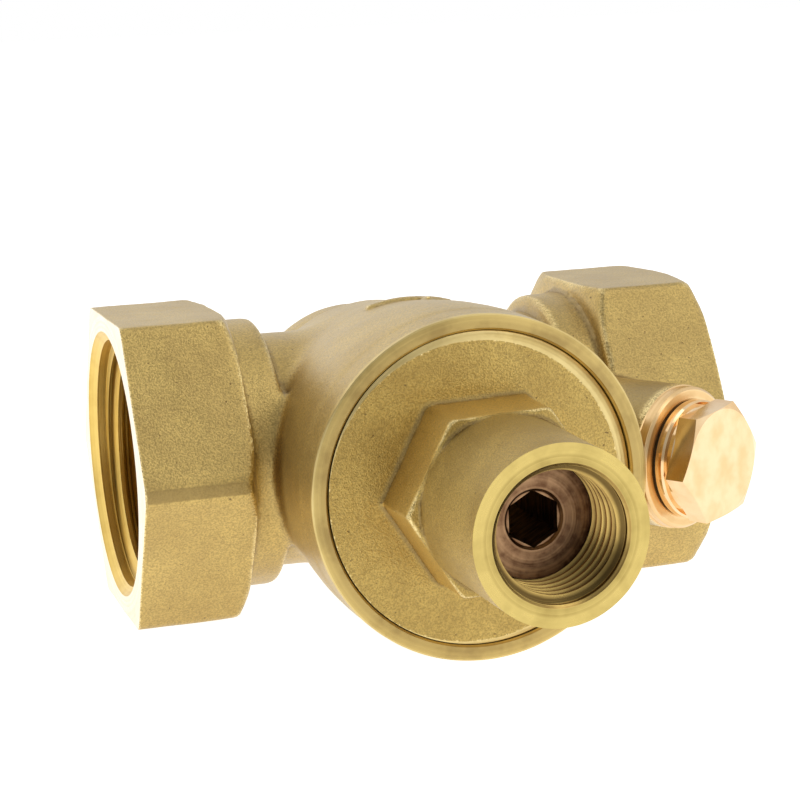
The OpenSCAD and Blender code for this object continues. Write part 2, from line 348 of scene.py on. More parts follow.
def combine(piece, operation, *tools):
    """Cuts, joins or intersects piece with each tool, and removes the tools."""
    for tool in tools:
        modifier = piece.modifiers.new(operation, "BOOLEAN")
        modifier.operation = operation
        modifier.solver = "MANIFOLD"
        modifier.object = tool
        settle(piece)
        bpy.data.objects.remove(tool)
    return piece


def cut(piece, *tools):
    return combine(piece, "DIFFERENCE", *tools)


def shade(piece, degrees=35):
    """Smooth shading that keeps edges sharper than this angle."""
    bm = bmesh.new()
    bm.from_mesh(piece.data)
    limit = math.radians(degrees)
    for face in bm.faces:
        face.smooth = True
    for edge in bm.edges:
        edge.smooth = len(edge.link_faces) == 2 and edge.calc_face_angle(0) < limit
    bm.to_mesh(piece.data)
    bm.free()
    return piece


def mark_edges(piece):
    """Stores how far each vertex stands proud of its neighbours, below 0 in a hollow.

    The forged finishes paint a highlight where a vertex stands proud, and paint shade in its hollows.
    """
    bm = bmesh.new()
    bm.from_mesh(piece.data)
    bm.normal_update()
    sharp = []
    for vert in bm.verts:
        steps = [edge.other_vert(vert).co - vert.co for edge in vert.link_edges]
        length = sum(step.length for step in steps) or 1
        sharp.append(-sum(step.dot(vert.normal) for step in steps) / length)
    proud = []
    for vert in bm.verts:
        around = [sharp[edge.other_vert(vert).index] for edge in vert.link_edges]
        proud.append(0.5 * sharp[vert.index] + 0.5 * sum(around) / len(around))
    bm.free()
    layer = piece.data.attributes.new("proud", "FLOAT", "POINT")
    layer.data.foreach_set("value", proud)
    return piece


# ---- Threads ----

def thread_recipe(tree, size):
    """A V-shaped ridge wound right-handed about local Z, with its turns standing across the wall."""
    middle = (size["Foot radius"] + size["Tip radius"]) * 0.5
    helix = tree.node("GeometryNodeCurveSpiral", {}, {
        "Resolution": 96, "Rotations": size["Length"] / size["Pitch"], "Start Radius": middle,
        "End Radius": middle, "Height": size["Length"], "Reverse": True})
    upright = tree.node("GeometryNodeSetCurveNormal", {"mode": "Z_UP"}, {0: helix})
    profile = tree.node("GeometryNodeCurvePrimitiveQuadrilateral", {"mode": "TRAPEZOID"}, {
        "Height": size["Tip radius"] - size["Foot radius"], "Bottom Width": size["Foot width"],
        "Top Width": size["Tip width"], "Offset": 0.0})
    across = tree.node("GeometryNodeTransform", {}, {
        "Geometry": profile, "Rotation": (0, 0, -math.pi / 2)})
    return tree.node("GeometryNodeCurveToMesh", {}, {
        "Curve": upright, "Profile Curve": across, "Fill Caps": True})


def thread_tool(name, thread, start, length, place):
    """The cutter that turns a plain bore at the minor radius into a threaded one."""
    pitch = thread["pitch"]
    slope = 0.3125 * pitch / (thread["major"] - thread["minor"])
    foot_half = 0.0625 * pitch + slope * (thread["major"] - thread["minor"] + THREAD_OVERLAP)
    sizes = {"Pitch": pitch, "Length": length, "Foot radius": thread["minor"] - THREAD_OVERLAP,
             "Tip radius": thread["major"], "Foot width": 2 * foot_half, "Tip width": pitch / 8}
    tool = made_by_nodes(name, sizes, thread_recipe, "turned_brass")
    tool.data.transform(Matrix.Scale(MM, 4) @ place @ Matrix.Translation((0, 0, start)))
    return tool


# ---- Forged shapes as blended fields ----

CONE_SIN, CONE_COS = 0.5, 0.866        # the chamfers of the pipe's hexagons slope at 30 degrees


def forging_recipe(field, low, high, voxel):
    """The skin where a field of signed distances in millimetres is zero, found on a grid of voxels."""
    def recipe(tree, size):
        place = tree.node("GeometryNodeInputPosition")
        inside = (0.5 - field(tree, place, size) * 0.25).clipped()
        counts = [int((b - a) / voxel) for a, b in zip(low, high)]
        volume = tree.node("GeometryNodeVolumeCube", {}, {
            "Density": inside, "Background": 0.0, "Min": low, "Max": high,
            "Resolution X": counts[0], "Resolution Y": counts[1], "Resolution Z": counts[2]})
        skin = tree.node("GeometryNodeVolumeToMesh", {"resolution_mode": "GRID"}, {
            "Volume": volume, "Threshold": 0.5})
        return tree.node("GeometryNodeTransform", {}, {"Geometry": skin, "Scale": (MM, MM, MM)})
    return recipe


def slab(value, low, high):
    """Signed distance to the layer between two values."""
    return abs(value - (low + high) / 2) - (high - low) / 2


def hex_field(a, b, width, corner=0.8):
    """Signed distance to a hexagon whose flats face b, with rounded corners."""
    slope = abs(b) * 0.5 + abs(a) * (math.sqrt(3) / 2)
    return abs(b).larger(slope, corner) - width * 0.5


def undulation(tree, place, scale, amount):
    """The slow waviness of a forged skin."""
    noise = tree.node("ShaderNodeTexNoise", {"noise_dimensions": "3D"}, {
        "Vector": place, "Scale": scale, "Detail": 2.0, "Roughness": 0.5})
    return (noise - 0.5) * amount


def pipe_end_field(size, reach, y, z, hex_l, outer_round):
    """Hexagon, collar and neck of one pipe end. reach is the distance in from its mouth."""
    rho = (y * y + z * z).root()
    corner = size["Hexagon width"] / math.sqrt(3)
    head = hex_field(y, z, size["Hexagon width"]).larger(abs(y - 0.3) - PARTING_R - 0.3, 0.3)
    inner_cone = (rho - corner) * CONE_SIN + (reach - (hex_l - 1.5)) * CONE_COS
    head = head.larger(inner_cone, 0.6).larger(reach - hex_l, 0.8)
    if outer_round:
        outer_cone = (rho - corner) * CONE_SIN - (reach - 1.3) * CONE_COS
        head = head.larger(outer_cone, 1.2)
    head = head.larger(-1.5 - reach)
    collar = (rho - size["Collar radius"]).larger(slab(reach, hex_l - 1, hex_l + 5.1), 1.6)
    neck = (rho - size["Neck radius"]).larger(slab(reach, 8, 34), 0.5)
    seam = (abs(y) - (size["Neck radius"] + 0.45)).larger(abs(z) - 0.8, 0.4)
    seam = seam.larger(slab(reach, hex_l, 30), 0.5)
    return head.smaller(collar, 0.7).smaller(neck.smaller(seam, 0.8), 1.0)


def arrow_field(along, across):
    """Signed distance to a flat arrow that points along +X."""
    stem = slab(along, -6, 2).larger(abs(across) - 1.0, 0.3)
    head = ((along - 6.5) * 0.6 + abs(across) * 0.8).larger(1.5 - along, 0.3)
    return stem.smaller(head, 0.3)


def body_field(tree, place, size):
    """The whole body's forging: housing, pipe ends, gauge boss and the flow arrow on top."""
    x, y, z = tree.split(place)
    u = -y
    across = x - BONNET_X
    r = (across * across + z * z).root()
    barrel_r = (u * BARREL_TAPER + BARREL_R).smaller(BARREL_MAX_R, 1.5)
    barrel_r = barrel_r - u.step(BAND_U - 0.15, BAND_U + 0.15) * (BARREL_MAX_R - RIM_R)
    barrel = (r - barrel_r).larger(slab(u, -11, RIM_U + 1.5), 1.5)
    back = (r - BACK_R).larger(slab(u, 0.25 - BACK_U, 0), 7)
    housing = barrel.smaller(back, 1.4)
    inlet = pipe_end_field(size, x - INLET_X, y, z, INLET_HEX_L, False)
    outlet = pipe_end_field(size, OUTLET_X - x, y, z, OUTLET_HEX_L, True)
    out, side = along_gauge(x, y)
    boss = ((side * side + z * z).root() - BOSS_R + 0.05).larger(slab(out, 12, BOSS_U - 2), 0.3)
    whole = housing.smaller(inlet.smaller(outlet), size["Fillet"]).smaller(boss, 1.5)
    arrow = (whole - 0.5).larger(arrow_field(across, u - 9), 0.3).larger(-z)
    whole = whole.smaller(arrow, 0.25)
    return whole + undulation(tree, place, 0.12, 0.3) + undulation(tree, place, 0.5, 0.05)


def housing_cavity():
    """Everything turned inside the housing, from the balance well to the recess for the bonnet."""
    recess_r = DISC_R + DISC_GAP
    mouth_r = DISC_R + 0.4
    return lathe("cavity", [(0, -21), (WELL_R, -21), (WELL_R, -13), (CHAMBER_R, -13), (CHAMBER_R, -3.5),
                            (WEB_BORE_R, -3.5), (WEB_BORE_R, 0.9), (SEAT_RECESS_R, 0.9),
                            (SEAT_RECESS_R, 2), (PISTON_BORE_R, 2), (PISTON_BORE_R, 23.9),
                            (BONNET_BORE_R, 23.9), (BONNET_BORE_R, RECESS_U), (recess_r, RECESS_U),
                            (recess_r, RIM_U - 0.25), (mouth_r, RIM_U + 0.01), (mouth_r, RIM_U + 3),
                            (0, RIM_U + 3)], at_bonnet())


def passage(x_low, x_high, y_low, y_high):
    """The part of a port's bore between two heights, which opens it into the chamber."""
    r, length = PORT_R - 0.5, x_high - x_low
    way = lathe("passage", [(0, 0), (r, 0), (r, length), (0, length)], at_pipe(x_low))
    keep = prism("keep", [(x_low - 1, y_low), (x_high + 1, y_low), (x_high + 1, y_high),
                          (x_low - 1, y_high)], -20, 20, Matrix())
    return combine(way, "INTERSECT", keep)


def port_tool(x, way, depth):
    """Mouth, thread bore and port of one pipe end, cut from its mouth inwards."""
    minor, length = PIPE_THREAD["minor"], PIPE_THREAD["length"]
    return lathe("port", [(0, -4), (MOUTH_R + 4, -4), (MOUTH_R, 0), (MOUTH_R - 0.9, 0.9),
                          (RELIEF_R, 1.0), (RELIEF_R, 2.2), (minor, 3.2), (minor, length),
                          (PORT_R, length), (PORT_R, depth), (0, depth)], at_pipe(x, way))


def valve_body():
    """The forging with its ends, chambers, ports and threads cut into it."""
    low = (INLET_X - 2.5, -RIM_U - 2.5, -26.0)
    high = (OUTLET_X + 2.5, BACK_U + 2.5, 26.0)
    sizes = {"Hexagon width": PIPE_HEX_AF, "Collar radius": COLLAR_R, "Neck radius": NECK_R,
             "Fillet": 3.0}
    body = made_by_nodes("valve_body_forging", sizes,
                         forging_recipe(body_field, low, high, BODY_VOXEL), "body_forged")
    rim_face = lathe("rim face", [(0, RIM_U), (RIM_R - 0.2, RIM_U), (RIM_R + 0.4, RIM_U - 0.35),
                                  (40, RIM_U - 0.35), (40, RIM_U + 9), (0, RIM_U + 9)], at_bonnet())
    inlet_face = lathe("inlet face", [(0, -9), (40, -9), (40, 0), (0, 0)], at_pipe(INLET_X))
    outlet_face = lathe("outlet face", [(0, -9), (40, -9), (40, 0), (0, 0)], at_pipe(OUTLET_X, -1))
    band_r, band_u = BOSS_R - 0.15, BOSS_U - BOSS_BAND_T
    boss_end = lathe("boss end", [(0, 20), (BOSS_R - 0.5, 20), (BOSS_R, 33.5), (BOSS_R, band_u),
                                  (band_r, band_u + 0.1), (band_r, BOSS_U - 0.35),
                                  (BOSS_R - 0.5, BOSS_U), (0, BOSS_U)], at_gauge())
    gauge_hole = lathe("gauge hole", [(0, 14), (GAUGE_HOLE_R, 14), (GAUGE_HOLE_R, BOSS_U + 1),
                                      (0, BOSS_U + 1)], at_gauge())
    combine(body, "UNION", boss_end)
    cut(body, rim_face, inlet_face, outlet_face)
    cut(body, housing_cavity(), gauge_hole)
    cut(body, port_tool(INLET_X, 1, 21.5), port_tool(OUTLET_X, -1, 24.6))
    cut(body, passage(20.5, BONNET_X, 3.5, 13), passage(BONNET_X, 57, -10, -2.5))
    for x, way in ((INLET_X, 1), (OUTLET_X, -1)):
        cut(body, thread_tool("pipe thread", PIPE_THREAD, -2.5, 18.5, at_pipe(x, way)))
    return mark_edges(shade(body))


def bonnet_field(tree, place, size):
    """The bonnet's forging: disc, drafted hexagon and nose."""
    x, y, z = tree.split(place)
    u = -y
    across = x - BONNET_X
    r = (across * across + z * z).root()
    disc = (r - (DISC_R + 2)).larger(slab(u, RECESS_U, RIM_U - 0.1))
    draft = (u - RIM_U) * 0.06
    turn_cos, turn_sin = math.cos(BONNET_HEX_TURN), math.sin(BONNET_HEX_TURN)
    a, b = across * turn_cos + z * turn_sin, z * turn_cos - across * turn_sin
    head = hex_field(a, b, size["Hexagon width"] + 0.4 - draft, 1.1).larger(
        slab(u, 34, BONNET_HEX_U), 0.3)
    nose_taper = (NOSE_ROOT_R - NOSE_END_R) / (NOSE_U - BONNET_HEX_U)
    nose_r = NOSE_ROOT_R - (u - BONNET_HEX_U) * nose_taper
    nose = (r - nose_r).larger(slab(u, 35, NOSE_U + 1.5))
    whole = disc.smaller(head, size["Fillet"]).smaller(nose, 0.35)
    return whole + undulation(tree, place, 0.2, 0.15) + undulation(tree, place, 0.9, 0.03)


def bonnet():
    """The forging with its edge and nose end turned, its skirt joined on and its bore threaded."""
    reach = DISC_R + 2.5
    low = (BONNET_X - reach, -NOSE_U - 2.5, -reach)
    high = (BONNET_X + reach, -33.0, reach)
    piece = made_by_nodes("bonnet_forging", {"Hexagon width": BONNET_HEX_AF, "Fillet": 0.6},
                          forging_recipe(bonnet_field, low, high, BONNET_VOXEL), "bonnet_forged")
    turned = lathe("turned bonnet", [(0, 33.5), (DISC_R, 33.5), (DISC_R, RIM_U - 0.2),
                                     (DISC_R, NOSE_U), (0, NOSE_U)], at_bonnet())
    off_centre = at_bonnet() @ Matrix.Translation((-EDGE_SHIFT, -0.4 * EDGE_SHIFT, 0))
    edge_r = DISC_R - 0.75
    trimmed = lathe("trimmed edge", [(0, 33), (edge_r + 1.6, 33), (edge_r + 1.6, RIM_U - 0.75),
                                     (edge_r, RIM_U - 0.12), (edge_r, RIM_U + 1), (edge_r, NOSE_U + 1),
                                     (0, NOSE_U + 1)], off_centre)
    combine(piece, "INTERSECT", turned, trimmed)
    skirt = lathe("skirt", [(0, 24), (SKIRT_R - 1, 24), (SKIRT_R, 25), (SKIRT_R, 30.8),
                            (SKIRT_GROOVE_R, 30.8), (SKIRT_GROOVE_R, 32.4), (SKIRT_R, 32.4),
                            (SKIRT_R, RECESS_U + 0.05), (DISC_R, RECESS_U + 0.05), (DISC_R, 34),
                            (0, 34)], at_bonnet())
    combine(piece, "UNION", skirt)
    minor, major = NOSE_THREAD["minor"], NOSE_THREAD["major"]
    bore = lathe("bore", [(0, 23), (SPRING_CAVITY_R, 23), (SPRING_CAVITY_R, 34), (minor, 34),
                          (minor, NOSE_U - 1.5), (major, NOSE_U - 0.9), (major, NOSE_U - 0.35),
                          (NOSE_MOUTH_R, NOSE_U), (NOSE_MOUTH_R, NOSE_U + 2), (0, NOSE_U + 2)],
                 at_bonnet())
    cut(piece, bore)
    length = NOSE_U + 1 - NOSE_THREAD_U
    cut(piece, thread_tool("nose thread", NOSE_THREAD, NOSE_THREAD_U, length, at_bonnet()))
    return mark_edges(shade(piece))


def hex_head(name, af, low, high, chamfer, place, turn):
    """A hexagon whose outer corners are turned off by a cone."""
    bar = prism(name, hexagon(af, turn), low, high + 1, place)
    corner, flat = af / math.sqrt(3) + 0.1, af / 2 - 0.05
    cone = lathe("cone", [(0, low - 1), (corner, low - 1), (corner, high - chamfer), (flat, high),
                          (0, high)], place)
    return combine(bar, "INTERSECT", cone)


def gauge_plug():
    """Hexagon, round step, flange and shank of the plug in the gauge port."""
    step_u = FLANGE_U + FLANGE_T
    hex_u = step_u + STEP_T
    step_r = PLUG_AF / 2 + 0.15
    head = hex_head("gauge_plug_head", PLUG_AF, hex_u - 0.3, PLUG_TOP_U, 0.45, at_gauge(), PLUG_TURN)
    low_u = FLANGE_U - 9
    shank = lathe("shank", [(0, low_u), (PLUG_SHANK_R - 0.6, low_u), (PLUG_SHANK_R, low_u + 0.6),
                            (PLUG_SHANK_R, FLANGE_U), (FLANGE_R - 0.15, FLANGE_U),
                            (FLANGE_R, FLANGE_U + 0.15), (FLANGE_R, step_u - 0.25),
                            (FLANGE_R - 0.25, step_u), (step_r, step_u), (step_r, hex_u - 0.2),
                            (step_r - 0.2, hex_u), (0, hex_u)], at_gauge())
    combine(head, "UNION", shank)
    return shade(head, 20)


def adjusting_screw():
    """A rod with a helical ridge in step with the nose's thread, and a hexagon socket right through."""
    ends = [(0, SCREW_LOW_U), (SCREW_R - 1, SCREW_LOW_U), (SCREW_CREST_R, SCREW_LOW_U + 1.9),
            (SCREW_CREST_R, SCREW_U - 0.8), (SCREW_CREST_R - 0.8, SCREW_U), (0, SCREW_U)]
    rod = [(min(r, SCREW_R), u) for r, u in ends]
    screw = lathe("adjusting_screw_turned", rod, at_bonnet())
    start = NOSE_THREAD_U - NOSE_THREAD["pitch"]
    ridge = thread_tool("screw thread", SCREW_THREAD, start, SCREW_U + 3 - NOSE_THREAD_U, at_bonnet())
    under = [(r, u - 0.25 if u > SCREW_LOW_U + 2 else u + 0.1) for r, u in ends]
    combine(ridge, "INTERSECT", lathe("screw blank", under, at_bonnet()))
    combine(screw, "UNION", ridge)
    corners = hexagon(SOCKET_AF, math.pi / 6)
    socket = prism("socket", corners, SCREW_LOW_U - 1, SCREW_U + 1, at_bonnet())
    corner_r = SOCKET_AF / math.sqrt(3)
    sink = lathe("sink", [(0, SCREW_U - 0.35), (corner_r - 0.15, SCREW_U - 0.35),
                          (corner_r + 0.2, SCREW_U + 0.01), (corner_r + 0.2, SCREW_U + 1),
                          (0, SCREW_U + 1)], at_bonnet())
    cut(screw, socket, sink)
    return shade(screw, 25)


# ---- Finishes ----

FORGED = (0.76, 0.55, 0.175)
FORGED_BROWN = (0.54, 0.37, 0.115)
EDGE_HIGHLIGHT = (0.92, 0.73, 0.33)                # painted highlight on a forging's proud edges
# dark of the pits, also used as painted shade in hollows
PITS_AND_SHADE = (0.16, 0.095, 0.035)
TURNED = (0.66, 0.505, 0.165)
TURNED_DULL = (0.38, 0.275, 0.08)
BROWNED = (0.30, 0.18, 0.055)


def darker(shade, share):
    return tuple(share * part for part in shade)


class Finish(Tree):
    """A material on Object coordinates in millimetres."""

    def __init__(self, name, metallic=1.0, **constants):
        self.material = bpy.data.materials.new(name)
        self.material.use_nodes = True
        super().__init__(self.material.node_tree)
        self.shader = self.tree.nodes["Principled BSDF"]
        self.shader.inputs["Metallic"].default_value = metallic
        for key, value in constants.items():
            self.shader.inputs[key.replace("_", " ")].default_value = value
        metres = self.node("ShaderNodeTexCoord", {}, {}, "Object")
        self.place = self.node("ShaderNodeVectorMath", {"operation": "SCALE"}, {0: metres, "Scale": 1 / MM})

    def noise(self, scale, detail, roughness, at=None):
        return self.node("ShaderNodeTexNoise", {"noise_dimensions": "3D"}, {
            "Vector": at or self.place, "Scale": scale, "Detail": detail, "Roughness": roughness})

    def stretched(self, size):
        """Place divided by a size in millimetres along each axis."""
        return self.node("ShaderNodeVectorMath", {"operation": "DIVIDE"}, {0: self.place, 1: size})

    def set(self, socket, value):
        self.tree.links.new(value.socket, self.shader.inputs[socket])

    def bump(self, height, depth, strength):
        """Relief of this height, at most depth millimetres deep."""
        self.set("Normal", self.node("ShaderNodeBump", {}, {
            "Strength": strength, "Distance": depth * MM, "Height": height}))


def ring_coordinates(skin, axis):
    """Distance from the axis that a surface was turned about, and the place along it."""
    x, y, z = skin.split(skin.place)
    if axis == "pipe":
        across = y - MOUTH_Y
        return (across * across + z * z).root(), x
    if axis == "bonnet":
        across = x - BONNET_X
        return (across * across + z * z).root(), -y
    out, side = along_gauge(x, y)
    return (side * side + z * z).root(), out


def seam_stains_and_boss_shade(skin):
    """Where the body is darker: stains along the seams at the hexagons' corners, and painted shade round
    the gauge boss.
    """
    x, y, z = skin.split(skin.place)
    inlet_end = 1 - x.step(INLET_HEX_L - 0.5, INLET_HEX_L + 0.5)
    outlet_end = x.step(OUTLET_X - OUTLET_HEX_L - 0.5, OUTLET_X - OUTLET_HEX_L + 0.5)
    corner = abs(y).step(21.9, 22.2) * (1 - abs(y).step(23.1, 23.5))
    seam = (1 - abs(z).step(0.7, 1.0)) * corner * (inlet_end + outlet_end)
    # Painted shade on the housing round the gauge boss, beside the stained seams.
    r, out = ring_coordinates(skin, "gauge")
    return seam.larger(out.step(24.5, 31) * (1 - r.step(9.7, 11)) * 0.75)


def forged_brass(name, yellow, brown, grit, fine, contrast, stains_and_shade=None):
    """Sand-blasted brass as it leaves the forging die, dulled by handling.

    grit is the depth of its grain, fine how small the grain is and contrast how dark it is between.
    """
    skin = Finish(name, 0.92, Coat_Weight=0.4, Coat_Roughness=0.4)
    patches = skin.noise(0.11, 3.0, 0.55).step(0.35, 0.68)
    blotches = skin.noise(0.6, 3.0, 0.6)
    grain = skin.noise(3.0 * fine, 2.0, 0.65)
    pits = skin.noise(1.9, 1.0, 0.4).step(0.75, 0.81)
    worn = (patches * 0.5 + blotches * 0.5).clipped()
    shade_of = worn.mix(brown, yellow)
    lit = grain.step(0.32, 0.68) * contrast + (1 - contrast)
    shade_of = lit.mix(darker(brown, 0.6), shade_of)
    if stains_and_shade:
        # Darkens the stained seams and the painted shade round the gauge boss.
        shade_of = (stains_and_shade(skin) * 0.7).mix(shade_of, darker(brown, 0.5))
    proud = skin.node("ShaderNodeAttribute", {"attribute_name": "proud"}, {}, "Fac")
    # Painted highlight along proud edges, broken up by the grain.
    highlit_edges = proud.step(0.05, 0.17)
    # Painted shade in the hollows, where the mesh lies below its neighbours.
    hollow_shade = (0 - proud).step(0.02, 0.14) * 0.55
    # Pits darken for real; the hollows get painted shade.
    shade_of = (pits * 0.7).larger(hollow_shade).mix(shade_of, PITS_AND_SHADE)
    skin.set("Base Color", (highlit_edges * grain.step(0.3, 0.6)).mix(shade_of, EDGE_HIGHLIGHT))
    skin.set("Roughness", (blotches * 0.12 + grain * 0.2 + 0.24 - highlit_edges * 0.1).clipped())
    skin.bump(grain + skin.noise(1.2, 1.0, 0.5) * 0.35 - pits * 0.9, 0.13 * grit, 1.0)
    return skin.material


def turned_brass(name, axis, bright, dull, coarse=1.0, roots=None, rough=0.16):
    """Brass with the fine rings of a cutting tool round its axis.

    roots holds the radii where painted shade in a thread's roots starts, is darkest and ends, and how dark
    it is.
    """
    skin = Finish(name)
    r, along = ring_coordinates(skin, axis)
    rings = skin.node("ShaderNodeCombineXYZ", {}, {0: r, 1: along})
    fine = skin.noise(6.5 / coarse, 1.0, 0.5, rings)
    wide = skin.noise(1.5 / coarse, 2.0, 0.5, rings)
    patches = skin.noise(0.25, 3.0, 0.6)
    stain = (patches.step(0.42, 0.7) * 0.35 + wide.step(0.42, 0.62) * 0.45 + fine * 0.2).clipped()
    shade_of = stain.mix(bright, dull)
    if roots:
        low, high, end, share = roots
        # Painted shade in the thread's roots.
        dark = r.step(low, high) * (1 - r.step(end, end + 0.05)) * share
        shade_of = dark.mix(shade_of, darker(dull, 0.3))
    skin.set("Base Color", shade_of)
    skin.set("Roughness", (patches * 0.1 + wide * 0.16 + rough).clipped())
    skin.bump(fine + wide * 0.8 + skin.noise(3.0, 1.0, 0.5) * 0.15, 0.025 * coarse, 0.9)
    return skin.material


def tarnished_brass():
    """The screw's turned face, browned by heat and old grease."""
    skin = Finish("tarnished brass")
    r, along = ring_coordinates(skin, "bonnet")
    rings = skin.node("ShaderNodeCombineXYZ", {}, {0: r, 1: along})
    wide = skin.noise(1.4, 2.0, 0.6, rings)
    patches = skin.noise(0.5, 3.0, 0.65)
    tone = (wide.step(0.35, 0.7) * 0.55 + patches.step(0.35, 0.65) * 0.45).clipped()
    skin.set("Base Color", tone.mix((0.13, 0.062, 0.03), (0.50, 0.30, 0.155)))
    skin.set("Roughness", (patches * 0.25 + 0.22).clipped())
    skin.bump(skin.noise(6.0, 1.0, 0.5, rings) + wide * 0.6, 0.02, 0.8)
    return skin.material


def polished_brass():
    """Buffed bar brass with hairline marks and a faint warm film."""
    skin = Finish("polished brass")
    hairlines = skin.noise(1.0, 2.0, 0.6, skin.stretched((0.1, 0.1, 2.5)))
    film = skin.noise(0.35, 2.0, 0.5)
    skin.set("Base Color", film.step(0.3, 0.75).mix((0.92, 0.68, 0.40), (0.84, 0.56, 0.28)))
    skin.set("Roughness", (film * 0.08 + hairlines * 0.05 + 0.05).clipped())
    skin.bump(hairlines * 0.3 + skin.noise(0.6, 2.0, 0.5), 0.01, 0.6)
    return skin.material


def stainless():
    """Drawn stainless bar with faint lines along it."""
    skin = Finish("stainless steel")
    lines = skin.noise(1.0, 2.0, 0.6, skin.stretched((0.5, 0.12, 0.5)))
    skin.set("Base Color", lines.mix((0.50, 0.49, 0.47), (0.66, 0.65, 0.63)))
    skin.set("Roughness", (lines * 0.2 + 0.2).clipped())
    skin.bump(lines, 0.01, 0.7)
    return skin.material


def spring_steel():
    """Dark spring wire with its scale left on."""
    skin = Finish("spring steel")
    scale = skin.noise(0.8, 3.0, 0.6)
    skin.set("Base Color", scale.mix((0.20, 0.19, 0.185), (0.38, 0.37, 0.36)))
    skin.set("Roughness", (scale * 0.25 + 0.25).clipped())
    skin.bump(skin.noise(3.0, 2.0, 0.6), 0.02, 0.6)
    return skin.material


def seal_rubber():
    """Black moulded rubber with a grey bloom."""
    skin = Finish("seal rubber", metallic=0.0)
    bloom = skin.noise(0.9, 3.0, 0.6)
    skin.set("Base Color", bloom.mix((0.012, 0.012, 0.012), (0.045, 0.043, 0.040)))
    skin.set("Roughness", (bloom * 0.3 + 0.35).clipped())
    skin.bump(skin.noise(4.0, 2.0, 0.6), 0.02, 0.5)
    return skin.material


def guide_plastic():
    """Cream low-friction plastic."""
    skin = Finish("guide plastic", metallic=0.0)
    flow = skin.noise(1.0, 2.0, 0.6, skin.stretched((3.0, 1.0, 3.0)))
    skin.set("Base Color", flow.mix((0.70, 0.67, 0.60), (0.82, 0.80, 0.74)))
    skin.set("Roughness", (flow * 0.2 + 0.3).clipped())
    skin.bump(skin.noise(2.0, 2.0, 0.5), 0.015, 0.5)
    return skin.material


FINISHES = {
    "body_forged": forged_brass("forged body brass", FORGED, FORGED_BROWN, grit=0.6, fine=1.3,
                                contrast=0.7, stains_and_shade=seam_stains_and_boss_shade),
    "bonnet_forged": forged_brass("forged bonnet brass", (0.71, 0.51, 0.145), (0.47, 0.315, 0.08),
                                  grit=0.8, fine=1.6, contrast=0.7),
    # A lighter copy of the bonnet's forged brass for the hexagon's sides: painted light.
    "hexagon_painted_lighter": forged_brass("forged hexagon brass painted lighter", (0.96, 0.69, 0.21), (0.74, 0.50, 0.14),
                                   grit=0.8, fine=1.6, contrast=0.6),
    "pipe_turned": turned_brass("turned pipe end", "pipe", (0.86, 0.62, 0.18), (0.64, 0.42, 0.10),
                                roots=(15.9, 16.4, 16.62, 0.5), rough=0.22),
    # The pipe faces' turned brass is paled almost to white, a painted reflection of the bright room.
    "face_turned": turned_brass("turned pipe face", "pipe", (0.98, 0.86, 0.66), (0.9, 0.74, 0.5)),
    "rim_turned": turned_brass("turned rim", "bonnet", (0.68, 0.51, 0.185), (0.36, 0.25, 0.09),
                               coarse=2.2, rough=0.28),
    "rim_edge": turned_brass("turned rim edge", "bonnet", (0.84, 0.67, 0.30), (0.58, 0.43, 0.16),
                             coarse=1.4, rough=0.26),
    "nose_turned": turned_brass("turned nose", "bonnet", TURNED, TURNED_DULL),
    "bore_turned": turned_brass("turned bore", "bonnet", (0.60, 0.42, 0.13), BROWNED,
                                roots=(7.25, 7.7, 8.0, 0.85)),
    "boss_turned": turned_brass("turned boss", "gauge", (0.88, 0.62, 0.32), (0.7, 0.46, 0.2)),
    "turned_brass": turned_brass("turned brass", "bonnet", TURNED, TURNED_DULL),
    "tarnished_brass": tarnished_brass(),
    "polished_brass": polished_brass(),
    "stainless": stainless(),
    "spring_steel": spring_steel(),
    "seal_rubber": seal_rubber(),
    "guide_plastic": guide_plastic(),
}
FLAT_FINISHES = ("face_turned",)


def paint(piece, first, *others):
    """Gives the first finish to a piece, and each (finish, test) after it to the faces that pass the test.

    A test takes a face's middle, in millimetres, and its normal.
    """
    piece.data.materials.clear()
    piece.data.materials.append(FINISHES[first])
    for number, (finish, test) in enumerate(others, 1):
        piece.data.materials.append(FINISHES[finish])
        for face in piece.data.polygons:
            if test(face.center / MM, face.normal):
                face.material_index = number
                face.use_smooth = finish not in FLAT_FINISHES
    return piece


# ---- Stage ----

FLOOR_GREY = 0.45
FLOOR_GLOW = 0.95


def camera():
    """The lens looks at the valve from the front left, a little above it."""
    lens = bpy.data.cameras.new("camera")
    lens.lens = 99.1
    lens.sensor_width = 36
    eye = fresh("camera", lens)
    right, up = (0.95327, -0.29949, -0.03993), (0.09138, 0.15983, 0.98291)
    turn = Matrix((right, up, Vector(right).cross(Vector(up)))).transposed().to_4x4()
    place = Vector((BONNET_X - 87.2, -288.4, 60.2)) * MM
    eye.matrix_world = Matrix.Translation(place) @ turn
    bpy.context.scene.camera = eye


def softbox(name, place, target, size, power):
    """A rectangular lamp of this many watts, turned towards the target."""
    light = bpy.data.lights.new(name, "AREA")
    light.shape = "RECTANGLE"
    light.size, light.size_y = size
    light.energy = power
    lamp = fresh(name, light)
    aim = (Vector(target) - Vector(place)).to_track_quat("-Z", "Y")
    lamp.matrix_world = Matrix.Translation(place) @ aim.to_matrix().to_4x4()


